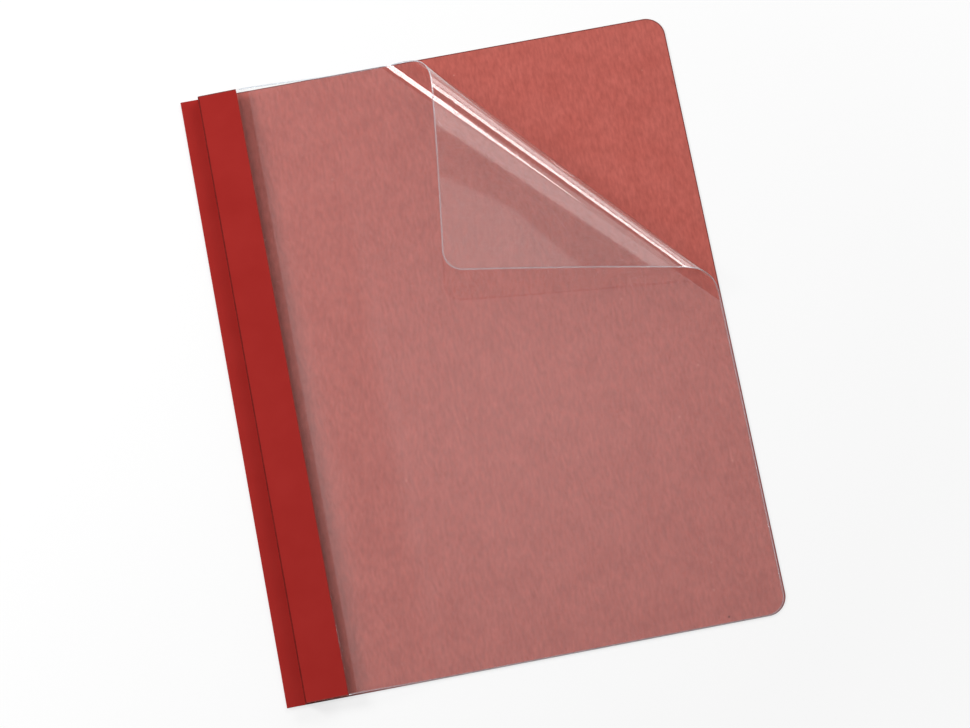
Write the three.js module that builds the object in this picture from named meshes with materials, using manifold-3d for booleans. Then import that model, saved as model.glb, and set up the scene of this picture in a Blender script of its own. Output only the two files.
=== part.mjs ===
// Report cover for letter sheets, in millimetres, lying on its back with +Z up and +Y towards its top edge.
// A folded sheet of cover stock makes the back, a hem along the left edge and a low spine wall. The front is
// clear film under a hinge strip of the same stock. Its top-right corner is curled back over itself.
// The origin is the centre of the back's footprint, on the surface that it lies on.
import * as THREE from 'three';
import { mergeVertices } from 'three/addons/utils/BufferGeometryUtils.js';
import Module from 'manifold-3d';

// Cover stock and back panel
const coverWidth = 228.6;
const coverHeight = 285.75;
const stockThickness = 0.45;
const coverCornerRadius = 9.0;
const cornerSteps = 4;

// Hem and spine wall, folded from the back panel's left edge
const hemWidth = 8.75;
const hemGap = 0.3;
const wallFoldRadius = 0.5;
const wallHeight = 3.5;
const foldSteps = 8;

// Hinge strip of the front, creased at its left edge and rising a little towards its right edge, which is cut
// askew: stripTaper is how much narrower the strip is at the top
const creaseGap = 0.3;
const creaseRadius = 0.5;
const stripWidth = 19.35;
const stripTaper = 1.5;
const stripRise = 0.9;
const hingeOffset = 0.15;

// Clear film
const filmThickness = 0.2;
const glueThickness = 0.05;
const filmMarginInset = 3.0;
const filmClearance = 0.3;
const filmDescent = 47.0;
const filmCrest = 0.03;
const descentSteps = 14;
const filmRightInset = 0.6;
const filmCornerRadius = 9.0;

// Curled corner of the film: it leaves the flat along a line from its top edge to its right edge, turns over
// in stages on a cone, each a little wider than the last, and ends in a flap that is nearly flat. The radii
// are those at the top edge, and curlRadiusRight is the first stage's radius at the right edge.
const liftOnTopEdge = 94.1;
const liftOnRightEdge = 144.2;
const curlRadiusRight = 5.64;
const curlStages = [
  { radius: 10.14, turn: 48.8, steps: 14 },
  { radius: 12.23, turn: 41.5, steps: 12 },
  { radius: 13.53, turn: 74.6, steps: 18 },
];
const flapRadius = 416.0;
const flapSteps = 10;
const tipSteps = 5;

// Binding strip and the prong fasteners that come up through its slits
const bindingStripWidth = 16.0;
const bindingEndInset = 2.0;
const slitLength = 4.0;
const slitWidth = 1.5;
const fastenerPitch = 108.0;
const fastenerInset = 9.5;
const fastenerSheet = 0.3;
const baseLength = 12.7;
const baseWidth = 9.5;
const baseCornerRadius = 1.5;
const prongLength = 31.0;
const prongWidth = 3.2;
const prongTipRadius = 1.5;
const prongSpacing = 0.3;
const prongLift = 0.3;

const wasm = await Module();
wasm.setup();

const leftEdge = -coverWidth / 2;
const rightEdge = coverWidth / 2;
const topEdge = coverHeight / 2;
const bottomEdge = -coverHeight / 2;

const hemPitch = stockThickness + hemGap;
const hemTop = stockThickness + hemPitch;
const wallX = leftEdge + hemWidth;
const wallRight = wallX + stockThickness / 2;
const wallTop = hemTop + wallHeight;
const hingeZ = wallTop + creaseGap;
const stripLeftZ = hingeZ + creaseRadius;
const stripLeftX = wallX + creaseRadius;
const stripSlope = stripRise / (stripWidth - creaseRadius);

const stockOuter = new THREE.MeshStandardMaterial({ color: 0xa32824, roughness: 0.6, metalness: 0 });
const stockInner = new THREE.MeshStandardMaterial({ color: 0xb95b52, roughness: 0.85, metalness: 0 });
const clearFilm = new THREE.MeshStandardMaterial({
  color: 0xf0f4f8, roughness: 0.08, metalness: 0, transparent: true, opacity: 0.3,
});
const tinPlate = new THREE.MeshStandardMaterial({ color: 0xb9b6ae, roughness: 0.35, metalness: 1 });

function toSolid(geometry) {
  const bare = geometry.clone();
  bare.deleteAttribute('normal');
  bare.deleteAttribute('uv');
  const merged = mergeVertices(bare, 1e-4);
  return new wasm.Manifold(new wasm.Mesh({
    numProp: 3,
    vertProperties: new Float32Array(merged.attributes.position.array),
    triVerts: new Uint32Array(merged.index.array),
  }));
}

function toGeometry(solid) {
  const mesh = solid.getMesh();
  const geometry = new THREE.BufferGeometry();
  geometry.setAttribute('position', new THREE.BufferAttribute(mesh.vertProperties, 3));
  geometry.setIndex(new THREE.BufferAttribute(mesh.triVerts, 1));
  geometry.computeVertexNormals();
  return geometry;
}

// A plate with this outline in plan, from one height up to another
function plate(outline, low, high) {
  const geometry = new THREE.ExtrudeGeometry(outline, { depth: high - low, bevelEnabled: false });
  return geometry.translate(0, 0, low);
}

// Closed outline of a bent sheet: the centre line's points moved half a thickness to both sides
function bandOutline(centreLine, thickness) {
  const half = thickness / 2;
  const left = [];
  const right = [];
  centreLine.forEach((point, i) => {
    const before = centreLine[Math.max(i - 1, 0)];
    const after = centreLine[Math.min(i + 1, centreLine.length - 1)];
    const inward = point.clone().sub(i > 0 ? before : after).normalize().multiplyScalar(i > 0 ? 1 : -1);
    const outward = i < centreLine.length - 1 ? after.clone().sub(point).normalize() : inward.clone();
    const along = inward.clone().add(outward).normalize();
    const reach = half / along.dot(outward);
    left.push(new THREE.Vector2(point.x - along.y * reach, point.y + along.x * reach));
    right.push(new THREE.Vector2(point.x + along.y * reach, point.y - along.x * reach));
  });
  return new THREE.Shape([...left, ...right.reverse()]);
}

// A section drawn in X and Z, drawn out along Y and centred on the origin's height
function drawnAlongY(section, length) {
  const geometry = new THREE.ExtrudeGeometry(section, { depth: length, bevelEnabled: false });
  return geometry.rotateX(Math.PI / 2).translate(0, length / 2, 0);
}

function arcPoints(centreX, centreZ, radius, startAngle, endAngle) {
  return Array.from({ length: foldSteps + 1 }, (_, i) => {
    const angle = startAngle + (endAngle - startAngle) * i / foldSteps;
    return new THREE.Vector2(centreX + radius * Math.cos(angle), centreZ + radius * Math.sin(angle));
  });
}

function roundedRectangle(width, height, radius) {
  const shape = new THREE.Shape();
  const x = width / 2;
  const y = height / 2;
  shape.absarc(x - radius, y - radius, radius, 0, Math.PI / 2);
  shape.absarc(radius - x, y - radius, radius, Math.PI / 2, Math.PI);
  shape.absarc(radius - x, radius - y, radius, Math.PI, Math.PI * 1.5);
  shape.absarc(x - radius, radius - y, radius, Math.PI * 1.5, Math.PI * 2);
  return shape;
}

// The back's outline in plan: square corners at the hem, rounded corners at the right
function backOutline() {
  const shape = new THREE.Shape();
  shape.moveTo(leftEdge, topEdge);
  shape.lineTo(leftEdge, bottomEdge);
  shape.absarc(rightEdge - coverCornerRadius, bottomEdge + coverCornerRadius, coverCornerRadius,
    -Math.PI / 2, 0);
  shape.absarc(rightEdge - coverCornerRadius, topEdge - coverCornerRadius, coverCornerRadius,
    0, Math.PI / 2);
  return new THREE.Shape(shape.getPoints(cornerSteps));
}

// Panel, hem folded 180 degrees onto it, and the spine wall standing up from the hem
function backCover() {
  const hemFoldX = leftEdge + (hemPitch + stockThickness) / 2;
  const panelZ = stockThickness / 2;
  const hemZ = panelZ + hemPitch;
  const centreLine = [
    new THREE.Vector2(rightEdge, panelZ),
    ...arcPoints(hemFoldX, panelZ + hemPitch / 2, hemPitch / 2, -Math.PI / 2, -Math.PI * 1.5),
    ...arcPoints(wallX - wallFoldRadius, hemZ + wallFoldRadius, wallFoldRadius, -Math.PI / 2, 0),
    new THREE.Vector2(wallX, wallTop),
  ];
  const folded = toSolid(drawnAlongY(bandOutline(centreLine, stockThickness), coverHeight));
  const cutter = toSolid(plate(backOutline(), -stockThickness, hingeZ));
  return toGeometry(folded.intersect(cutter));
}

// The hinge strip starts in a rounded crease above the spine wall, and its right edge is cut a little askew
function frontHingeStrip() {
  const centreLine = [
    new THREE.Vector2(wallX, hingeZ),
    ...arcPoints(stripLeftX, hingeZ, creaseRadius, Math.PI, Math.PI / 2 + Math.atan(stripSlope)).slice(1),
    new THREE.Vector2(wallX + stripWidth, stripZ(wallX + stripWidth)),
  ];
  const bent = toSolid(drawnAlongY(bandOutline(centreLine, stockThickness), coverHeight));
  const outline = new THREE.Shape([
    new THREE.Vector2(leftEdge, topEdge),
    new THREE.Vector2(leftEdge, bottomEdge),
    new THREE.Vector2(wallX + stripWidth, bottomEdge),
    new THREE.Vector2(wallX + stripWidth - stripTaper, topEdge),
  ]);
  const cutter = toSolid(plate(outline, wallTop, stripZ(wallX + stripWidth) + stockThickness));
  return toGeometry(bent.intersect(cutter));
}

// Height of the hinge strip's middle surface
function stripZ(x) {
  return stripLeftZ + (x - stripLeftX) * stripSlope;
}

// A closed sheet of this thickness from flat points joined by triangles, each point placed in space with the
// sheet's normal there
function sheetGeometry(points, triangles, thickness, place) {
  const positions = [];
  const placed = points.map(place);
  for (const side of [thickness / 2, -thickness / 2]) {
    for (const { position, normal } of placed) {
      positions.push(...position.clone().addScaledVector(normal, side).toArray());
    }
  }
  const count = points.length;
  const open = new Map();
  const index = [];
  for (const [a, b, c] of triangles) {
    index.push(a, b, c, a + count, c + count, b + count);
    for (const [from, to] of [[a, b], [b, c], [c, a]]) {
      if (!open.delete(`${to} ${from}`)) {
        open.set(`${from} ${to}`, [from, to]);
      }
    }
  }
  for (const [from, to] of open.values()) {
    index.push(from, from + count, to, to, from + count, to + count);
  }
  const geometry = new THREE.BufferGeometry();
  geometry.setAttribute('position', new THREE.Float32BufferAttribute(positions, 3));
  geometry.setIndex(index);
  geometry.computeVertexNormals();
  return geometry;
}

const filmLeft = wallX + filmMarginInset;
const filmRight = rightEdge - filmRightInset;
const filmFlatZ = stockThickness + filmClearance + filmThickness / 2;
const descentStart = wallX + stripWidth;
const descentEnd = descentStart + filmDescent;

const liftTop = new THREE.Vector2(leftEdge + liftOnTopEdge, topEdge);
const liftRight = new THREE.Vector2(filmRight, bottomEdge + liftOnRightEdge);
const liftLine = liftTop.clone().sub(liftRight);
const liftLength = liftLine.length();
const liftDirection = liftLine.clone().normalize();
const cornerDirection = new THREE.Vector2(liftDirection.y, -liftDirection.x);
const apexDistance = liftLength * curlRadiusRight / (curlStages[0].radius - curlRadiusRight);
const apex = liftRight.clone().addScaledVector(liftDirection, -apexDistance);
const topDistance = apexDistance + liftLength;

// Each stage of the curl as an angle between flat lines from the apex, and how hard the sheet bends there:
// the distance from the apex over the radius
const bends = curlStages.map(({ radius, turn, steps }) => {
  const bend = topDistance / radius;
  return { bend, angle: THREE.MathUtils.degToRad(turn) / Math.hypot(1, bend), steps };
});
const flapBend = { bend: topDistance / flapRadius, angle: Math.PI };

// Height and slope of the film's middle surface where it isn't curled: glued under the strip, then an even
// descent to the back panel
function filmProfile(x) {
  const underStrip = (stockThickness / 2 + glueThickness + filmThickness / 2) * Math.hypot(1, stripSlope);
  if (x <= descentStart) {
    return { z: stripZ(x) - underStrip, slope: stripSlope };
  }
  if (x >= descentEnd) {
    return { z: filmFlatZ, slope: 0 };
  }
  const t = (x - descentStart) / filmDescent;
  const startZ = stripZ(descentStart) - underStrip;
  const startSlope = filmCrest * filmDescent;
  const z = startZ * (1 - 3 * t * t + 2 * t ** 3) + startSlope * (t - 2 * t * t + t ** 3)
    + filmFlatZ * (3 * t * t - 2 * t ** 3);
  const slope = (startZ * (6 * t * t - 6 * t) + startSlope * (1 - 4 * t + 3 * t * t)
    + filmFlatZ * (6 * t - 6 * t * t)) / filmDescent;
  return { z, slope };
}

// The film's straight lines fan out from the apex. Past the lift line they turn about the axis of each
// stage's cone in turn.
function curledDirection(angle) {
  const along = new THREE.Vector3(liftDirection.x, liftDirection.y, 0);
  const across = new THREE.Vector3(cornerDirection.x, cornerDirection.y, 0);
  const up = new THREE.Vector3(0, 0, 1);
  let left = angle;
  for (const stage of [...bends, flapBend]) {
    const turn = -Math.min(left, stage.angle) * Math.hypot(1, stage.bend);
    const axis = new THREE.Vector3().copy(up).addScaledVector(along, stage.bend).normalize();
    for (const vector of [along, across, up]) {
      vector.applyAxisAngle(axis, turn);
    }
    left -= Math.min(left, stage.angle);
  }
  return { along, up };
}

function placeOnFilm(point) {
  const fromApex = point.clone().sub(apex);
  const angle = Math.atan2(fromApex.dot(cornerDirection), fromApex.dot(liftDirection));
  if (angle > 1e-9) {
    const { along, up } = curledDirection(angle);
    const position = new THREE.Vector3(apex.x, apex.y, filmFlatZ).addScaledVector(along, fromApex.length());
    return { position, normal: up };
  }
  const { z, slope } = filmProfile(point.x);
  return {
    position: new THREE.Vector3(point.x, point.y, z),
    normal: new THREE.Vector3(-slope, 0, 1).normalize(),
  };
}

// The two places where a line from the apex crosses the film's rounded corner region
function crossings(angle) {
  const direction = liftDirection.clone().multiplyScalar(Math.cos(angle))
    .addScaledVector(cornerDirection, Math.sin(angle));
  const centre = new THREE.Vector2(filmRight - filmCornerRadius, topEdge - filmCornerRadius);
  const toCentre = centre.clone().sub(apex);
  const along = toCentre.dot(direction);
  const beside = toCentre.lengthSq() - along * along;
  const half = Math.sqrt(Math.max(filmCornerRadius ** 2 - beside, 0));
  const at = (distance) => apex.clone().addScaledVector(direction, distance);
  let near = at((filmRight - apex.x) / direction.x);
  let far = at((topEdge - apex.y) / direction.y);
  if (near.y > centre.y) {
    near = at(along - half);
  }
  if (far.x > centre.x) {
    far = at(along + half);
  }
  return [near, far];
}

// Angle past the lift line of a line from the apex that passes the rounded tip's centre at this share of its
// radius, on the outer side
function tipAngle(share) {
  const toCentre = new THREE.Vector2(filmRight, topEdge).subScalar(filmCornerRadius).sub(apex);
  return Math.atan2(toCentre.dot(cornerDirection), toCentre.dot(liftDirection))
    + Math.asin(filmCornerRadius * share / toCentre.length());
}

// Angles of the lines from the apex that divide the curl, the flap and its rounded tip
function curlAngles() {
  const angles = [];
  let start = 0;
  const divide = (end, steps) => {
    for (let i = 1; i <= steps; i += 1) {
      angles.push(start + (end - start) * i / steps);
    }
    start = end;
  };
  for (const { angle, steps } of bends) {
    divide(start + angle, steps);
  }
  divide(tipAngle(Math.SQRT1_2), flapSteps);
  for (let i = 1; i <= tipSteps; i += 1) {
    angles.push(tipAngle(Math.cos(Math.PI / 4 * (1 - i / tipSteps))));
  }
  return angles;
}

function clearFront() {
  const points = [];
  const triangles = [];
  const add = (point) => points.push(point) - 1;
  const quad = (a, b, c, d) => triangles.push([a, b, c], [a, c, d]);

  // Margin and descent: strips between lines along Y
  let low = add(new THREE.Vector2(filmLeft, bottomEdge));
  let high = add(new THREE.Vector2(filmLeft, topEdge));
  for (let i = 0; i <= descentSteps; i += 1) {
    const x = descentStart + filmDescent * i / descentSteps;
    const nextLow = add(new THREE.Vector2(x, bottomEdge));
    const nextHigh = add(new THREE.Vector2(x, topEdge));
    quad(low, nextLow, nextHigh, high);
    low = nextLow;
    high = nextHigh;
  }

  // Flat part, up to the line where the corner lifts
  const corner = new THREE.Path()
    .absarc(filmRight - filmCornerRadius, bottomEdge + filmCornerRadius, filmCornerRadius, -Math.PI / 2, 0)
    .getPoints(cornerSteps).map((point) => add(point));
  let near = add(liftRight.clone());
  let far = add(liftTop.clone());
  const rim = [low, ...corner, near, far, high];
  for (const face of THREE.ShapeUtils.triangulateShape(rim.map((i) => points[i]), [])) {
    triangles.push(face.map((i) => rim[i]));
  }

  // Curl and flap: strips between lines from the apex, down to the tip
  const angles = curlAngles();
  const lastAngle = angles.pop();
  for (const angle of angles) {
    const [nextNear, nextFar] = crossings(angle).map((point) => add(point));
    quad(near, nextNear, nextFar, far);
    near = nextNear;
    far = nextFar;
  }
  triangles.push([near, add(crossings(lastAngle)[0]), far]);
  return sheetGeometry(points, triangles, filmThickness, placeOnFilm);
}

const fastenerX = wallRight + fastenerInset;
const bindingLow = stockThickness + fastenerSheet;
const bindingHigh = bindingLow + stockThickness;

function bindingStrip() {
  const left = wallRight + creaseGap;
  const end = topEdge - bindingEndInset;
  const outline = new THREE.Shape([
    new THREE.Vector2(left, -end),
    new THREE.Vector2(left + bindingStripWidth, -end),
    new THREE.Vector2(left + bindingStripWidth, end),
    new THREE.Vector2(left, end),
  ]);
  for (const y of fastenerPlaces.map((place) => place.y)) {
    outline.holes.push(new THREE.Path([
      new THREE.Vector2(fastenerX - slitLength / 2, y - slitWidth / 2),
      new THREE.Vector2(fastenerX - slitLength / 2, y + slitWidth / 2),
      new THREE.Vector2(fastenerX + slitLength / 2, y + slitWidth / 2),
      new THREE.Vector2(fastenerX + slitLength / 2, y - slitWidth / 2),
    ]));
  }
  return plate(outline, bindingLow, bindingHigh);
}

const fastenerPlaces = [
  { name: 'fastener_top', y: fastenerPitch },
  { name: 'fastener_middle', y: 0 },
  { name: 'fastener_bottom', y: -fastenerPitch },
];

// Base plate under the binding strip, with two prongs that rise through the slit and fold away from each
// other along Y
function fastener() {
  const base = toSolid(plate(roundedRectangle(baseWidth, baseLength, baseCornerRadius), 0, fastenerSheet));
  const armLow = bindingHigh - stockThickness + prongLift;
  const armHigh = armLow + fastenerSheet;
  const inner = prongSpacing / 2;
  const outer = inner + fastenerSheet;
  const end = prongLength + outer;
  const section = new THREE.Shape([
    [-outer, 0], [outer, 0], [outer, armLow], [end, armLow], [end, armHigh], [inner, armHigh],
    [inner, fastenerSheet], [-inner, fastenerSheet], [-inner, armHigh], [-end, armHigh],
    [-end, armLow], [-outer, armLow],
  ].map(([y, z]) => new THREE.Vector2(y, z)));
  const prongs = new THREE.ExtrudeGeometry(section, { depth: prongWidth, bevelEnabled: false });
  prongs.translate(0, 0, -prongWidth / 2);
  prongs.applyMatrix4(new THREE.Matrix4().set(0, 0, 1, 0, 1, 0, 0, 0, 0, 1, 0, 0, 0, 0, 0, 1));
  const tips = roundedRectangle(prongWidth, end * 2, prongTipRadius);
  const tipCutter = toSolid(plate(tips, -fastenerSheet, armHigh + fastenerSheet));
  return toGeometry(base.add(toSolid(prongs).intersect(tipCutter)));
}

function named(name, geometry, material) {
  const mesh = new THREE.Mesh(geometry, material);
  mesh.name = name;
  return mesh;
}

const back = new THREE.Group();
back.add(named('back_cover', backCover(), stockOuter));
back.add(named('binding_strip', bindingStrip(), stockInner));
for (const { name, y } of fastenerPlaces) {
  const mesh = named(name, fastener(), tinPlate);
  mesh.position.set(fastenerX, y, stockThickness);
  back.add(mesh);
}

// The front opens to the left about the crease: a line along Y just outside the spine wall's left face
const front = new THREE.Group();
front.position.set(wallX - stockThickness / 2 - hingeOffset, 0, hingeZ);
for (const mesh of [
  named('front_hinge_strip', frontHingeStrip(), stockOuter),
  named('clear_front', clearFront(), clearFilm),
]) {
  mesh.position.copy(front.position).negate();
  front.add(mesh);
}

const group = new THREE.Group();
group.add(back, front);

export default group;
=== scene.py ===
from math import asin, atan, atan2, cos, hypot, pi, radians, sin, sqrt

import bpy
from mathutils import Matrix, Quaternion, Vector


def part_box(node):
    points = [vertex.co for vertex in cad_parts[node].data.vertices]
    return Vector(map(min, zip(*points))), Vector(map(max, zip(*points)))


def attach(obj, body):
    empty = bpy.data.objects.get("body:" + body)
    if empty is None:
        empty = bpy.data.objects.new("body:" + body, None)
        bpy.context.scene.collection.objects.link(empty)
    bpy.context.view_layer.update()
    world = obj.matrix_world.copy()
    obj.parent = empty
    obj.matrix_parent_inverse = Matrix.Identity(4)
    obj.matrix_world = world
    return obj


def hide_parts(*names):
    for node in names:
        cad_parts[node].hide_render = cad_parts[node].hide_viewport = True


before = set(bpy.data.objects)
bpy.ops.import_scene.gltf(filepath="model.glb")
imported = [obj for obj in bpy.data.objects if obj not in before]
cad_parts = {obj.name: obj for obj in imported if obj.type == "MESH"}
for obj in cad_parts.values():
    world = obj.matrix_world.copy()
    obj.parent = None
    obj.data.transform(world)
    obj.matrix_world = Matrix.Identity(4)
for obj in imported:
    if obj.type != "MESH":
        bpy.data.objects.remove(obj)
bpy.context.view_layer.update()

MM = 0.001
scene = bpy.context.scene


# Sizes of the cover, in millimetres. The panel's own sizes come from the frame.

def node_box(name):
    low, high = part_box(name)
    return low / MM, high / MM


BACK_LOW, BACK_HIGH = node_box("back_cover")
LEFT, RIGHT = BACK_LOW.x, BACK_HIGH.x
BOTTOM, TOP = BACK_LOW.y, BACK_HIGH.y
STOCK = 0.45
CORNER_RADIUS = 9.0
HEM_WIDTH = 8.75
HEM_GAP = 0.3
WALL_FOLD_RADIUS = 0.5
WALL_X = LEFT + HEM_WIDTH
WALL_TOP = BACK_HIGH.z
CREASE_GAP = 0.3
CREASE_RADIUS = 0.5
CREASE_Z = WALL_TOP + CREASE_GAP
STRIP_WIDTH = 19.35
STRIP_TAPER = 1.5
STRIP_RISE = 0.9
STRIP_SLOPE = STRIP_RISE / (STRIP_WIDTH - CREASE_RADIUS)

FILM = 0.2
GLUE = 0.05
FILM_MARGIN_INSET = 3.0
FILM_CLEARANCE = 0.3
FILM_DESCENT = 47.0
FILM_CREST = 0.03
FILM_RIGHT_INSET = 0.6
FILM_RIGHT = RIGHT - FILM_RIGHT_INSET
FILM_LEFT = WALL_X + FILM_MARGIN_INSET
FILM_FLAT_Z = STOCK + FILM_CLEARANCE + FILM / 2
DESCENT_START = WALL_X + STRIP_WIDTH
DESCENT_END = DESCENT_START + FILM_DESCENT

# Curled corner: the line where the film leaves the flat, then each stage of the curl as its radius at the
# top edge, the degrees that it turns there and its steps in the mesh
LIFT_ON_TOP_EDGE = 94.1
LIFT_ON_RIGHT_EDGE = 144.2
LIFT_TOP = Vector((LEFT + LIFT_ON_TOP_EDGE, TOP))
LIFT_RIGHT = Vector((FILM_RIGHT, BOTTOM + LIFT_ON_RIGHT_EDGE))
CURL_RADIUS_RIGHT = 5.64
CURL_STAGES = [(10.14, 48.8, 40), (12.23, 41.5, 32), (13.53, 74.6, 48)]
FLAP_RADIUS = 416.0

# Narrow bands along the cut edges and along the curl's outermost line. A band is thicker than its sheet by
# BAND_PROUD: half on each face, or all on top where the sheet lies on the table. The sheen starts and ends at
# these shares of the curl's second and third stage, and leaves the last share free at each end of its length.
FILM_RIM_WIDTH = 0.6
CARD_RIM_WIDTH = 0.45
BAND_PROUD = 0.02
SHEEN_START = 0.72
SHEEN_END = 0.13
SHEEN_END_GAP = 0.004

# Steps of the meshes, and the longest step of the film's rim
CORNER_STEPS = 16
RIM_CORNER_STEPS = 24
HEM_STEPS = 16
WALL_FOLD_STEPS = 10
CREASE_STEPS = 14
DESCENT_STEPS = 60
ACROSS_STEPS = 12
FLAP_STEPS = 30
TIP_STEPS = 12
SHEEN_STEPS = 16
RIM_STEP = 0.6

# Colour of the light that falls through each face of the clear film
FILM_PASSES = (0.935, 0.935, 0.94, 1.0)

# Floor and camera, in metres
FLOOR_REACH = 6.0
FLOOR_DROP = 0.0001
CAMERA_PLACE = (-0.05115, -0.26027, 1.23385)
CAMERA_RIGHT = Vector((0.98213, -0.18819, 0.00321))
CAMERA_UP = Vector((0.1835, 0.96113, 0.20629))


# Node trees and colours

def srgb(hex_code):
    """Linear colour of an sRGB hex value."""
    channels = [int(hex_code[i:i + 2], 16) / 255 for i in (1, 3, 5)]
    return tuple(c / 12.92 if c <= 0.04045 else ((c + 0.055) / 1.055) ** 2.4 for c in channels) + (1.0,)


def add(tree, kind, inputs=None, **settings):
    """Adds a node, sets its properties, and sets or links its inputs by name or number."""
    node = tree.nodes.new(kind)
    for key, value in settings.items():
        setattr(node, key, value)
    for key, value in (inputs or {}).items():
        if isinstance(value, bpy.types.NodeSocket):
            tree.links.new(value, node.inputs[key])
        else:
            node.inputs[key].default_value = value
    return node


def new_material(name):
    material = bpy.data.materials.new(name)
    material.use_nodes = True
    tree = material.node_tree
    tree.nodes.clear()
    return material, tree


def ramp_stops(node, stops):
    """Sets a colour ramp's stops from (place, hex colour) pairs."""
    ramp = node.color_ramp
    while len(ramp.elements) < len(stops):
        ramp.elements.new(0.5)
    for element, (place, colour) in zip(ramp.elements, stops):
        element.position = place
        element.color = srgb(colour)


def object_position(tree):
    return add(tree, "ShaderNodeTexCoord").outputs["Object"]


def per_metre(size_mm):
    """Noise scale whose features are about this many millimetres wide."""
    return 1 / (size_mm * MM)


# Materials

def dyed_card_outside():
    """Calendered cover card, dyed deep red: a smooth satin face with a very fine fibre grain and faint
    cloudiness."""
    material, tree = new_material("dyed_card_outside")
    place = object_position(tree)
    cloud = add(tree, "ShaderNodeTexNoise", {"Vector": place, "Scale": per_metre(16), "Detail": 3.0})
    tone = add(tree, "ShaderNodeValToRGB", {"Fac": cloud.outputs["Fac"]})
    ramp_stops(tone, [(0.3, "#98231F"), (0.7, "#9D2723")])
    fibre = add(tree, "ShaderNodeTexNoise", {"Vector": place, "Scale": per_metre(0.35), "Detail": 2.0})
    bump = add(tree, "ShaderNodeBump", {
        "Height": fibre.outputs["Fac"], "Strength": 0.12, "Distance": 0.00003})
    card = add(tree, "ShaderNodeBsdfPrincipled", {
        "Base Color": tone.outputs["Color"], "Normal": bump.outputs["Normal"],
        "Roughness": 0.6, "IOR": 1.45, "Specular IOR Level": 0.06,
    })
    add(tree, "ShaderNodeOutputMaterial", {"Surface": card.outputs["BSDF"]})
    return material


def painted_crease_shade():
    """The outside's dyed face at the hinge crease, painted a darker red as the shade that falls in the crease
    between hem and strip.
    """
    material, tree = new_material("painted_crease_shade")
    shade_noise = add(tree, "ShaderNodeTexNoise", {"Vector": object_position(tree), "Scale": per_metre(1.5)})
    tone = add(tree, "ShaderNodeValToRGB", {"Fac": shade_noise.outputs["Fac"]})
    ramp_stops(tone, [(0.3, "#5E100C"), (0.7, "#721814")])
    card = add(tree, "ShaderNodeBsdfPrincipled", {
        "Base Color": tone.outputs["Color"], "Roughness": 0.6, "Specular IOR Level": 0.06})
    add(tree, "ShaderNodeOutputMaterial", {"Surface": card.outputs["BSDF"]})
    return material


def dyed_card_inside():
    """The card's uncoated inner face: brick red and matt, with short darker and paler fibres that lie
    mostly one way, a few dark flecks and a few pale ones."""
    material, tree = new_material("dyed_card_inside")
    place = object_position(tree)
    cloud = add(tree, "ShaderNodeTexNoise", {"Vector": place, "Scale": per_metre(14), "Detail": 3.0})
    tone = add(tree, "ShaderNodeValToRGB", {"Fac": cloud.outputs["Fac"]})
    ramp_stops(tone, [(0.32, "#B45C53"), (0.68, "#BA6259")])
    lie = add(tree, "ShaderNodeMapping", {
        "Vector": place, "Rotation": (0.0, 0.0, 0.2), "Scale": (1.0, 0.35, 1.0)})
    fibre = add(tree, "ShaderNodeTexNoise", {
        "Vector": lie.outputs["Vector"], "Scale": per_metre(1.3), "Detail": 3.0})
    shade = add(tree, "ShaderNodeMapRange", {
        "Value": fibre.outputs["Fac"], "From Min": 0.28, "From Max": 0.72, "To Min": 0.86, "To Max": 1.12})
    with_fibre = add(tree, "ShaderNodeVectorMath", {
        0: tone.outputs["Color"], "Scale": shade.outputs["Result"]}, operation="SCALE")
    dust = add(tree, "ShaderNodeTexVoronoi", {"Vector": place, "Scale": per_metre(30)})
    fleck = add(tree, "ShaderNodeMapRange", {
        "Value": dust.outputs["Distance"],
        "From Min": 0.012, "From Max": 0.022, "To Min": 0.8, "To Max": 0.0})
    with_dark = add(tree, "ShaderNodeMixRGB", {
        "Fac": fleck.outputs["Result"], "Color1": with_fibre.outputs["Vector"], "Color2": srgb("#5E2420")})
    speck = add(tree, "ShaderNodeTexVoronoi", {"Vector": place, "Scale": per_metre(12)})
    light = add(tree, "ShaderNodeMapRange", {
        "Value": speck.outputs["Distance"],
        "From Min": 0.025, "From Max": 0.05, "To Min": 0.35, "To Max": 0.0})
    with_light = add(tree, "ShaderNodeMixRGB", {
        "Fac": light.outputs["Result"], "Color1": with_dark.outputs["Color"], "Color2": srgb("#DE9E92")})
    grain = add(tree, "ShaderNodeTexNoise", {"Vector": place, "Scale": per_metre(0.4), "Detail": 3.0})
    bump = add(tree, "ShaderNodeBump", {
        "Height": grain.outputs["Fac"], "Strength": 0.25, "Distance": 0.00004})
    card = add(tree, "ShaderNodeBsdfPrincipled", {
        "Base Color": with_light.outputs["Color"], "Normal": bump.outputs["Normal"],
        "Roughness": 0.88, "IOR": 1.45, "Specular IOR Level": 0.08,
    })
    add(tree, "ShaderNodeOutputMaterial", {"Surface": card.outputs["BSDF"]})
    return material


def cut_card_edge():
    """The card's guillotined edge and a narrow band of the face beside it: darker than the faces, with fibre
    layers along it."""
    material, tree = new_material("cut_card_edge")
    place = object_position(tree)
    layers = add(tree, "ShaderNodeTexNoise", {"Vector": place, "Scale": per_metre(0.5), "Detail": 2.0})
    tone = add(tree, "ShaderNodeValToRGB", {"Fac": layers.outputs["Fac"]})
    ramp_stops(tone, [(0.3, "#6E2A28"), (0.7, "#86443E")])
    card = add(tree, "ShaderNodeBsdfPrincipled", {
        "Base Color": tone.outputs["Color"], "Roughness": 0.9, "Specular IOR Level": 0.15})
    add(tree, "ShaderNodeOutputMaterial", {"Surface": card.outputs["BSDF"]})
    return material


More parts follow.
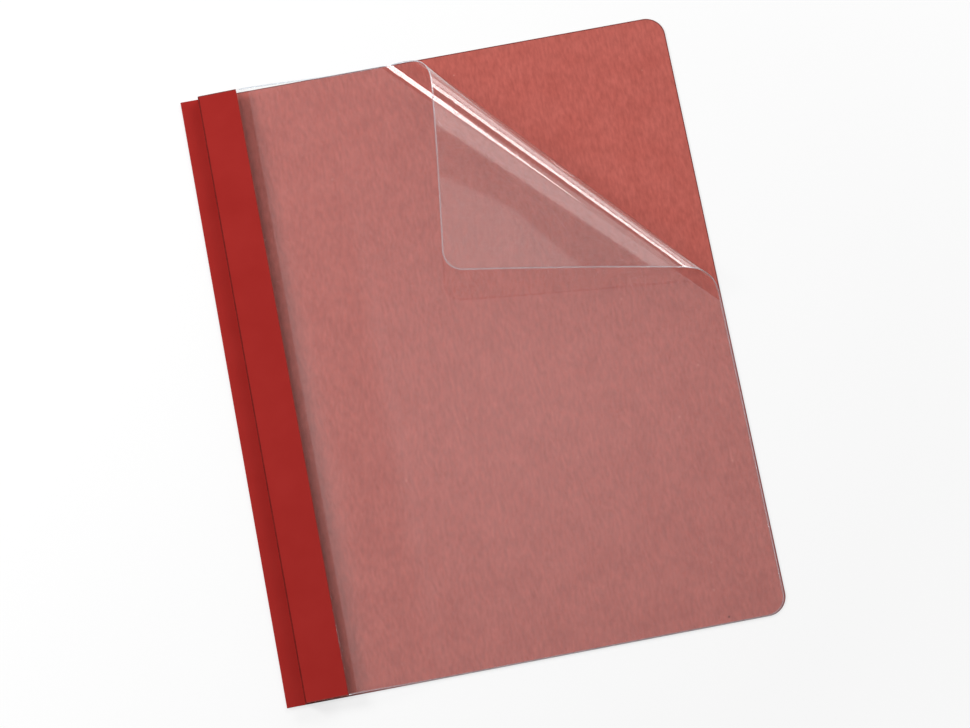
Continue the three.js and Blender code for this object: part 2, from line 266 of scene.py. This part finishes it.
def clear_film(name, haze, roughness, tint):
    """Clear polyester film: glossy, almost colourless, with a little haze. Light that falls through it goes
    straight on and loses a little at each face, so the card under it is lit evenly."""
    material, tree = new_material(name)
    film = add(tree, "ShaderNodeBsdfPrincipled", {
        "Base Color": srgb(tint), "Roughness": roughness, "IOR": 1.55,
        "Transmission Weight": 1.0 - haze,
    })
    through = add(tree, "ShaderNodeBsdfTransparent", {"Color": FILM_PASSES})
    rays = add(tree, "ShaderNodeLightPath")
    falling = add(tree, "ShaderNodeMath", {
        0: rays.outputs["Is Shadow Ray"], 1: rays.outputs["Is Diffuse Ray"]}, operation="MAXIMUM")
    mix = add(tree, "ShaderNodeMixShader", {
        0: falling.outputs[0], 1: film.outputs["BSDF"], 2: through.outputs["BSDF"]})
    add(tree, "ShaderNodeOutputMaterial", {"Surface": mix.outputs["Shader"]})
    return material


def tin_plate():
    """Tin-plated sheet steel: pale grey, softly bright, with the faint cloud of the plating's crystals."""
    material, tree = new_material("tin_plate")
    place = object_position(tree)
    crystal = add(tree, "ShaderNodeTexVoronoi", {"Vector": place, "Scale": per_metre(1.2)})
    rough = add(tree, "ShaderNodeMapRange", {
        "Value": crystal.outputs["Distance"],
        "From Min": 0.0, "From Max": 1.0, "To Min": 0.24, "To Max": 0.36})
    tin = add(tree, "ShaderNodeBsdfPrincipled", {
        "Base Color": srgb("#C9C6BE"), "Metallic": 1.0, "Roughness": rough.outputs["Result"]})
    add(tree, "ShaderNodeOutputMaterial", {"Surface": tin.outputs["BSDF"]})
    return material


OUTSIDE = dyed_card_outside()
# Darker red painted shade for the hinge crease
CREASE = painted_crease_shade()
INSIDE = dyed_card_inside()
CARD_EDGE = cut_card_edge()
CLEAR = clear_film("clear_film", 0.004, 0.04, "#FFFFFF")
FILM_EDGE = clear_film("cut_film_edge", 0.45, 0.3, "#F2F4F8")
# Hazier film along the film's cut edges, so that they show as light lines: a painted highlight
FILM_RIM = clear_film("painted_film_rim_highlight", 0.07, 0.25, "#E9F0F6")
# Hazier film for the painted highlight along the curl's outermost line
FOLD_SHEEN = clear_film("painted_fold_highlight", 0.1, 0.1, "#FFFFFF")
TIN = tin_plate()


# Sheets

def sheet_object(name, points, faces, thickness, place, materials):
    """A closed sheet from flat points and faces. place gives each point's position and normal in millimetres.
    materials are those of its upper face, lower face and cut edge."""
    placed = [place(p) for p in points]
    count = len(points)
    verts = [(position + normal * (side * thickness / 2)) * MM
             for side in (1, -1) for position, normal in placed]
    open_edges = {}
    for face in faces:
        for a, b in zip(face, face[1:] + face[:1]):
            if (b, a) in open_edges:
                del open_edges[(b, a)]
            else:
                open_edges[(a, b)] = True
    upper = [list(face) for face in faces]
    lower = [[i + count for i in reversed(face)] for face in faces]
    walls = [[a, a + count, b + count, b] for a, b in open_edges]
    mesh = bpy.data.meshes.new(name)
    mesh.from_pydata(verts, [], upper + lower + walls)
    for material in materials:
        mesh.materials.append(material)
    slots = [0] * len(upper) + [1] * len(lower) + [2] * len(walls)
    mesh.polygons.foreach_set("material_index", slots)
    mesh.polygons.foreach_set("use_smooth", [True] * len(slots))
    rim = {frozenset(edge) for a, b in open_edges for edge in ((a, b), (a + count, b + count))}
    for edge in mesh.edges:
        edge.use_edge_sharp = frozenset(edge.vertices) in rim
    mesh.validate()
    obj = bpy.data.objects.new(name, mesh)
    scene.collection.objects.link(obj)
    return obj


def edge_band(name, outline, width, sheet, place, material):
    """A band this wide that follows a sheet's cut edge, a little thicker than the sheet."""
    rows = [[], []]
    for i, point in enumerate(outline):
        before = outline[max(i - 1, 0)]
        after = outline[min(i + 1, len(outline) - 1)]
        along = (after - before).normalized()
        inward = Vector((-along.y, along.x))
        rows[0].append(point)
        rows[1].append(point + inward * width)
    count = len(outline)
    faces = [[i, i + 1, count + i + 1, count + i] for i in range(count - 1)]
    return sheet_object(name, rows[0] + rows[1], faces, sheet + BAND_PROUD, place, [material] * 3)


def arc(centre, radius, start, end, steps):
    """Points of a circle's arc, from one angle to another."""
    angles = [start + (end - start) * i / steps for i in range(steps + 1)]
    return [centre + Vector((cos(angle), sin(angle))) * radius for angle in angles]


def low_corner(right, steps=CORNER_STEPS):
    """Rounded bottom corner of a sheet whose right edge is at this x, counter-clockwise."""
    centre = Vector((right - CORNER_RADIUS, BOTTOM + CORNER_RADIUS))
    return arc(centre, CORNER_RADIUS, -pi / 2, 0, steps)


def high_corner(right, steps=CORNER_STEPS):
    """Rounded top corner of the same sheet."""
    centre = Vector((right - CORNER_RADIUS, TOP - CORNER_RADIUS))
    return arc(centre, CORNER_RADIUS, 0, pi / 2, steps)


def section_path(line):
    """Places points of a sheet that is bent only across Y. A point's x is the number of a point of the centre
    line."""
    normals = []
    for i, point in enumerate(line):
        before = line[max(i - 1, 0)]
        after = line[min(i + 1, len(line) - 1)]
        along = (after - before).normalized()
        normals.append(Vector((-along.y, along.x)))

    def place(point):
        i = int(point.x)
        x, z = line[i]
        return Vector((x, point.y, z)), Vector((normals[i].x, 0, normals[i].y))
    return place


def folded_back():
    """Back panel with its hem and spine wall, as one folded sheet with rounded corners at the right."""
    panel_z = STOCK / 2
    pitch = STOCK + HEM_GAP
    fold = Vector((LEFT + (pitch + STOCK) / 2, panel_z + pitch / 2))
    wall_fold = Vector((WALL_X - WALL_FOLD_RADIUS, panel_z + pitch + WALL_FOLD_RADIUS))
    line = (arc(fold, pitch / 2, -pi / 2, -pi * 1.5, HEM_STEPS)
            + arc(wall_fold, WALL_FOLD_RADIUS, -pi / 2, 0, WALL_FOLD_STEPS)
            + [Vector((WALL_X, WALL_TOP))])
    bent = section_path(line)
    points, faces = [], []
    for i in range(len(line)):
        points += [Vector((i, TOP)), Vector((i, BOTTOM))]
        if i:
            faces.append([2 * i - 2, 2 * i, 2 * i + 1, 2 * i - 1])
    corners = low_corner(RIGHT) + high_corner(RIGHT)
    faces.append([0, 1] + list(range(len(points), len(points) + len(corners))))
    points += corners

    def place(point):
        if any(point is corner for corner in corners):
            return Vector((point.x, point.y, panel_z)), Vector((0, 0, 1))
        position, normal = bent(point)
        return position, -normal
    return sheet_object("folded_back_cover", points, faces, STOCK, place, [INSIDE, OUTSIDE, CARD_EDGE])


def strip_z(x):
    return CREASE_Z + CREASE_RADIUS + (x - WALL_X - CREASE_RADIUS) * STRIP_SLOPE


def creased_strip():
    """Hinge strip of the front: a rounded crease at its left edge, and a right edge cut a little askew."""
    crease_centre = Vector((WALL_X + CREASE_RADIUS, CREASE_Z))
    crease = arc(crease_centre, CREASE_RADIUS, pi, pi / 2 + atan(STRIP_SLOPE), CREASE_STEPS)
    end = WALL_X + STRIP_WIDTH
    line = crease + [Vector((end, strip_z(end)))]
    bent = section_path(line)
    end_top = end - STRIP_TAPER
    points, faces = [], []
    for i in range(len(line)):
        points += [Vector((i, BOTTOM)), Vector((i, TOP))]
        if i:
            faces.append([2 * i - 2, 2 * i, 2 * i + 1, 2 * i - 1])

    def place(point):
        if point is points[-1]:
            _, normal = bent(point)
            return Vector((end_top, TOP, strip_z(end_top))), normal
        return bent(point)
    obj = sheet_object("creased_hinge_strip", points, faces, STOCK, place, [OUTSIDE, INSIDE, CARD_EDGE])
    # The crease's faces take the painted crease shade
    obj.data.materials.append(CREASE)
    for face in obj.data.polygons[:CREASE_STEPS]:
        face.material_index = 3
    return obj


# Clear film

LIFT_LENGTH = (LIFT_TOP - LIFT_RIGHT).length
ALONG = (LIFT_TOP - LIFT_RIGHT).normalized()
ACROSS = Vector((ALONG.y, -ALONG.x))
APEX_DISTANCE = LIFT_LENGTH * CURL_RADIUS_RIGHT / (CURL_STAGES[0][0] - CURL_RADIUS_RIGHT)
APEX = LIFT_RIGHT - ALONG * APEX_DISTANCE
TOP_DISTANCE = APEX_DISTANCE + LIFT_LENGTH
BENDS = [(TOP_DISTANCE / radius, radians(turn) / hypot(1, TOP_DISTANCE / radius), steps)
         for radius, turn, steps in CURL_STAGES]
FLAP_BEND = (TOP_DISTANCE / FLAP_RADIUS, pi, 0)


def film_profile(x):
    """Height and slope of the film where it isn't curled: glued under the strip, then an even descent."""
    under = (STOCK / 2 + GLUE + FILM / 2) * hypot(1, STRIP_SLOPE)
    if x <= DESCENT_START:
        return strip_z(x) - under, STRIP_SLOPE
    if x >= DESCENT_END:
        return FILM_FLAT_Z, 0.0
    t = (x - DESCENT_START) / FILM_DESCENT
    start = strip_z(DESCENT_START) - under
    crest = FILM_CREST * FILM_DESCENT
    z = (start * (1 - 3 * t * t + 2 * t ** 3) + crest * (t - 2 * t * t + t ** 3)
         + FILM_FLAT_Z * (3 * t * t - 2 * t ** 3))
    slope = (start * (6 * t * t - 6 * t) + crest * (1 - 4 * t + 3 * t * t)
             + FILM_FLAT_Z * (6 * t - 6 * t * t)) / FILM_DESCENT
    return z, slope


def curled_direction(angle):
    """Direction and normal of the film's straight line that lies this angle past the lift line."""
    along = Vector((ALONG.x, ALONG.y, 0))
    across = Vector((ACROSS.x, ACROSS.y, 0))
    up = Vector((0, 0, 1))
    left = angle
    for bend, span, _ in BENDS + [FLAP_BEND]:
        part = min(left, span)
        turn = Quaternion((up + along * bend).normalized(), -part * hypot(1, bend))
        along, across, up = turn @ along, turn @ across, turn @ up
        left -= part
    return along, up


def angle_past_lift(point):
    from_apex = point - APEX
    return atan2(from_apex.dot(ACROSS), from_apex.dot(ALONG))


def place_on_film(point):
    angle = angle_past_lift(point)
    if angle > 1e-9:
        along, up = curled_direction(angle)
        position = Vector((APEX.x, APEX.y, FILM_FLAT_Z)) + along * (point - APEX).length
        return position, up
    z, slope = film_profile(point.x)
    return Vector((point.x, point.y, z)), Vector((-slope, 0, 1)).normalized()


def crossings(angle):
    """The two places where a line from the apex crosses the film's rounded corner region."""
    direction = ALONG * cos(angle) + ACROSS * sin(angle)
    centre = Vector((FILM_RIGHT - CORNER_RADIUS, TOP - CORNER_RADIUS))
    to_centre = centre - APEX
    along = to_centre.dot(direction)
    half = sqrt(max(CORNER_RADIUS ** 2 - (to_centre.length_squared - along * along), 0))
    near = APEX + direction * ((FILM_RIGHT - APEX.x) / direction.x)
    far = APEX + direction * ((TOP - APEX.y) / direction.y)
    if near.y > centre.y:
        near = APEX + direction * (along - half)
    if far.x > centre.x:
        far = APEX + direction * (along + half)
    return near, far


def tip_angle(share):
    """Angle of the line from the apex that passes the tip's centre at this share of the tip's radius."""
    to_centre = Vector((FILM_RIGHT - CORNER_RADIUS, TOP - CORNER_RADIUS)) - APEX
    return (atan2(to_centre.dot(ACROSS), to_centre.dot(ALONG))
            + asin(CORNER_RADIUS * share / to_centre.length))


def curl_angles():
    angles = []
    start = 0.0
    spans = []
    for _, span, steps in BENDS:
        spans.append((start + span, steps))
        start += span
    spans.append((tip_angle(sqrt(0.5)), FLAP_STEPS))
    start = 0.0
    for end, steps in spans:
        angles += [start + (end - start) * i / steps for i in range(1, steps + 1)]
        start = end
    angles += [tip_angle(cos(pi / 4 * (1 - i / TIP_STEPS))) for i in range(1, TIP_STEPS + 1)]
    return angles


def film_front():
    """The clear front: margin under the strip, descent to the card, flat part and curled corner."""
    points, faces = [], []

    def put(point):
        points.append(point)
        return len(points) - 1

    low, high = put(Vector((FILM_LEFT, BOTTOM))), put(Vector((FILM_LEFT, TOP)))
    for i in range(DESCENT_STEPS + 1):
        x = DESCENT_START + FILM_DESCENT * i / DESCENT_STEPS
        next_low, next_high = put(Vector((x, BOTTOM))), put(Vector((x, TOP)))
        faces.append([low, next_low, next_high, high])
        low, high = next_low, next_high
    corner = [put(point) for point in low_corner(FILM_RIGHT)]
    row = [put(LIFT_RIGHT.lerp(LIFT_TOP, i / ACROSS_STEPS)) for i in range(ACROSS_STEPS + 1)]
    faces.append([low] + corner + row + [high])
    angles = curl_angles()
    last = angles.pop()
    for angle in angles:
        near, far = crossings(angle)
        next_row = [put(near.lerp(far, i / ACROSS_STEPS)) for i in range(ACROSS_STEPS + 1)]
        faces += [[row[i], next_row[i], next_row[i + 1], row[i + 1]] for i in range(ACROSS_STEPS)]
        row = next_row
    tip = put(crossings(last)[0])
    faces += [[row[i], tip, row[i + 1]] for i in range(ACROSS_STEPS)]
    materials = [CLEAR, CLEAR, FILM_EDGE]
    return sheet_object("clear_film_front", points, faces, FILM, place_on_film, materials)


def film_rim_outline():
    """The film's cut edges outside the hinge strip, counter-clockwise, in the flat."""
    corners = low_corner(FILM_RIGHT) + high_corner(FILM_RIGHT, RIM_CORNER_STEPS)
    stops = [Vector((DESCENT_START, BOTTOM))] + corners + [Vector((DESCENT_START, TOP))]
    outline = [stops[0]]
    for start, end in zip(stops, stops[1:]):
        pieces = max(round((end - start).length / RIM_STEP), 1)
        outline += [start.lerp(end, i / pieces) for i in range(1, pieces + 1)]
    return outline


def fold_sheen_band():
    """Band of film along the outermost line of the curl, made a little hazy so that it shows lighter: a
    painted highlight along the fold.
    """
    spans = [span for _, span, _ in BENDS]
    start = spans[0] + spans[1] * SHEEN_START
    end = spans[0] + spans[1] + spans[2] * SHEEN_END
    rows = []
    for i in range(SHEEN_STEPS + 1):
        near, far = crossings(start + (end - start) * i / SHEEN_STEPS)
        rows += [near.lerp(far, SHEEN_END_GAP), near.lerp(far, 1 - SHEEN_END_GAP)]
    faces = [[2 * i, 2 * i + 2, 2 * i + 3, 2 * i + 1] for i in range(SHEEN_STEPS)]
    materials = [FOLD_SHEEN] * 3
    return sheet_object("fold_sheen", rows, faces, FILM + BAND_PROUD, place_on_film, materials)


def board_rim_outline():
    """The back panel's cut edges outside the hem, counter-clockwise."""
    return [Vector((WALL_X, BOTTOM))] + low_corner(RIGHT) + high_corner(RIGHT) + [Vector((WALL_X, TOP))]


def on_panel(point):
    """Places a band on the back panel. It is raised so that it doesn't reach below the panel's underside."""
    return Vector((point.x, point.y, (STOCK + BAND_PROUD) / 2)), Vector((0, 0, 1))


def on_strip(point):
    """Places a band on the hinge strip's sloping part."""
    return Vector((point.x, point.y, strip_z(point.x))), Vector((-STRIP_SLOPE, 0, 1)).normalized()


back = folded_back()
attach(back, "back")
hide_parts("back_cover")

strip = creased_strip()
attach(strip, "front")
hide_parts("front_hinge_strip")

film = film_front()
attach(film, "front")
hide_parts("clear_front")

# Painted highlight along the curl's outermost line
fold_sheen = fold_sheen_band()
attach(fold_sheen, "front")
# Light band along the film's cut edges: a painted highlight
film_rim = edge_band("film_rim", film_rim_outline(), FILM_RIM_WIDTH, FILM, place_on_film, FILM_RIM)
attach(film_rim, "front")
board_rim = edge_band("board_rim", board_rim_outline(), CARD_RIM_WIDTH, STOCK, on_panel, CARD_EDGE)
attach(board_rim, "back")
for end_name, start_x, end_x, y in (
        ("bottom", WALL_X + CREASE_RADIUS, WALL_X + STRIP_WIDTH, BOTTOM),
        ("top", WALL_X + STRIP_WIDTH - STRIP_TAPER, WALL_X + CREASE_RADIUS, TOP)):
    end_line = [Vector((start_x, y)), Vector((end_x, y))]
    strip_rim = edge_band("strip_rim_" + end_name, end_line, CARD_RIM_WIDTH, STOCK, on_strip, CARD_EDGE)
    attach(strip_rim, "front")


def dress(node, material):
    """Gives a CAD node's slots this material."""
    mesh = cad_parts[node].data
    mesh.materials.clear()
    mesh.materials.append(material)


dress("binding_strip", INSIDE)
for place_name in ("top", "middle", "bottom"):
    dress("fastener_" + place_name, TIN)


# Floor, light and camera

def studio_floor():
    """Plain white sweep. What the camera or the film sees of it is nearly pure white. Round the cover it
    keeps a soft share of the shadow, and farther out it is all white."""
    mesh = bpy.data.meshes.new("studio_floor")
    corners = [(x * FLOOR_REACH, y * FLOOR_REACH, 0) for x, y in ((-1, -1), (1, -1), (1, 1), (-1, 1))]
    mesh.from_pydata(corners, [], [(0, 1, 2, 3)])
    floor = bpy.data.objects.new("studio_floor", mesh)
    scene.collection.objects.link(floor)
    material, tree = new_material("white_paper_floor")
    paper = add(tree, "ShaderNodeBsdfDiffuse", {"Color": srgb("#F4F4F4")})
    white = add(tree, "ShaderNodeEmission", {"Color": (1.0, 1.0, 1.0, 1.0), "Strength": 1.0})
    rays = add(tree, "ShaderNodeLightPath")
    seen = add(tree, "ShaderNodeMath", {0: rays.outputs["Is Camera Ray"], 1: rays.outputs["Is Glossy Ray"]},
               operation="MAXIMUM")
    seen_too = add(tree, "ShaderNodeMath", {0: seen.outputs[0], 1: rays.outputs["Is Transmission Ray"]},
                   operation="MAXIMUM")
    from_cover = add(tree, "ShaderNodeVectorMath", {0: object_position(tree)}, operation="LENGTH")
    whiteness = add(tree, "ShaderNodeMapRange", {
        "Value": from_cover.outputs["Value"], "From Min": 0.2, "From Max": 0.5, "To Min": 0.7, "To Max": 1.0})
    share = add(tree, "ShaderNodeMath", {0: seen_too.outputs[0], 1: whiteness.outputs["Result"]},
                operation="MULTIPLY")
    mix = add(tree, "ShaderNodeMixShader", {
        0: share.outputs[0], 1: paper.outputs["BSDF"], 2: white.outputs["Emission"]})
    add(tree, "ShaderNodeOutputMaterial", {"Surface": mix.outputs["Shader"]})
    mesh.materials.append(material)
    floor.location.z = -FLOOR_DROP


def studio_world():
    """Even white room: a weak light from all sides, and plain white where the camera looks past the floor."""
    world = bpy.data.worlds.new("studio_world")
    world.use_nodes = True
    tree = world.node_tree
    tree.nodes.clear()
    room = add(tree, "ShaderNodeBackground", {"Color": (1.0, 1.0, 1.0, 1.0), "Strength": 0.15})
    seen = add(tree, "ShaderNodeBackground", {"Color": (1.0, 1.0, 1.0, 1.0), "Strength": 1.0})
    rays = add(tree, "ShaderNodeLightPath")
    mix = add(tree, "ShaderNodeMixShader", {
        0: rays.outputs["Is Camera Ray"], 1: room.outputs["Background"], 2: seen.outputs["Background"]})
    add(tree, "ShaderNodeOutputWorld", {"Surface": mix.outputs["Shader"]})
    scene.world = world


def softbox(name, place, aim, width, height, radiance, roll=0.0, fading=False):
    """Rectangular lamp. Radiance is how bright its face looks, where 1 is white. A fading lamp's face is that
    bright at its middle and grows dark towards its edges, so that its mirror image has no outline."""
    data = bpy.data.lights.new(name, "AREA")
    data.shape = "RECTANGLE"
    data.size = width
    data.size_y = height
    data.energy = radiance * pi * width * height
    lamp = bpy.data.objects.new(name, data)
    facing = (Vector(aim) - Vector(place)).to_track_quat("-Z", "Y")
    lamp.location = place
    lamp.rotation_euler = (facing @ Quaternion((0, 0, 1), radians(roll))).to_euler()
    if fading:
        data.use_nodes = True
        tree = data.node_tree
        tree.nodes.clear()
        across_face = add(tree, "ShaderNodeNewGeometry").outputs["Parametric"]
        middle = (0.5, 0.5, 0.0)
        from_middle = add(tree, "ShaderNodeVectorMath", {0: across_face, 1: middle}, operation="DISTANCE")
        glow = add(tree, "ShaderNodeMapRange", {
            "Value": from_middle.outputs["Value"],
            "From Min": 0.0, "From Max": 0.5, "To Min": 1.0, "To Max": 0.0}, interpolation_type="SMOOTHSTEP")
        face = add(tree, "ShaderNodeEmission", {"Strength": glow.outputs["Result"]})
        add(tree, "ShaderNodeOutputLight", {"Surface": face.outputs["Emission"]})
    scene.collection.objects.link(lamp)


def photo_camera():
    """Almost overhead, turned so that the cover leans left as in the photo."""
    data = bpy.data.cameras.new("photo_camera")
    data.sensor_width = 36.0
    data.lens = 102.44
    camera = bpy.data.objects.new("photo_camera", data)
    backward = CAMERA_RIGHT.cross(CAMERA_UP).normalized()
    turn = Matrix((CAMERA_RIGHT, CAMERA_UP, backward)).transposed().to_4x4()
    camera.matrix_world = Matrix.Translation(CAMERA_PLACE) @ turn
    scene.collection.objects.link(camera)
    scene.camera = camera


studio_floor()
studio_world()
softbox("window_lamp", place=(-0.547, 0.016, 1.25), aim=(-0.547, 0.016, 0),
        width=0.615, height=0.27, radiance=10.0, roll=24.0)
softbox("left_softbox", place=(-0.98, 0.48, 0.66), aim=(0, 0, 0),
        width=0.38, height=0.38, radiance=22.5)
softbox("overhead_panel", place=(0.335, 0.34, 1.5), aim=(0.335, 0.34, 0),
        width=0.73, height=0.88, radiance=0.52)
softbox("ceiling_glow", place=(0.08, 0.26, 1.49), aim=(0.08, 0.26, 0),
        width=0.7, height=0.7, radiance=0.3, fading=True)
softbox("right_softbox", place=(0.80, 1.009, 0.82), aim=(0.04, 0.07, 0.02),
        width=0.9, height=0.43, radiance=7.8)
softbox("right_card", place=(0.933, 1.173, 0.30), aim=(0.04, 0.07, 0.30),
        width=0.9, height=0.6, radiance=3.0)
softbox("narrow_reflector", place=(0.608, 0.797, 1.073), aim=(0.04, 0.07, 0.02),
        width=0.9, height=0.108, radiance=1.4)
photo_camera()
scene.view_settings.view_transform = "Standard"
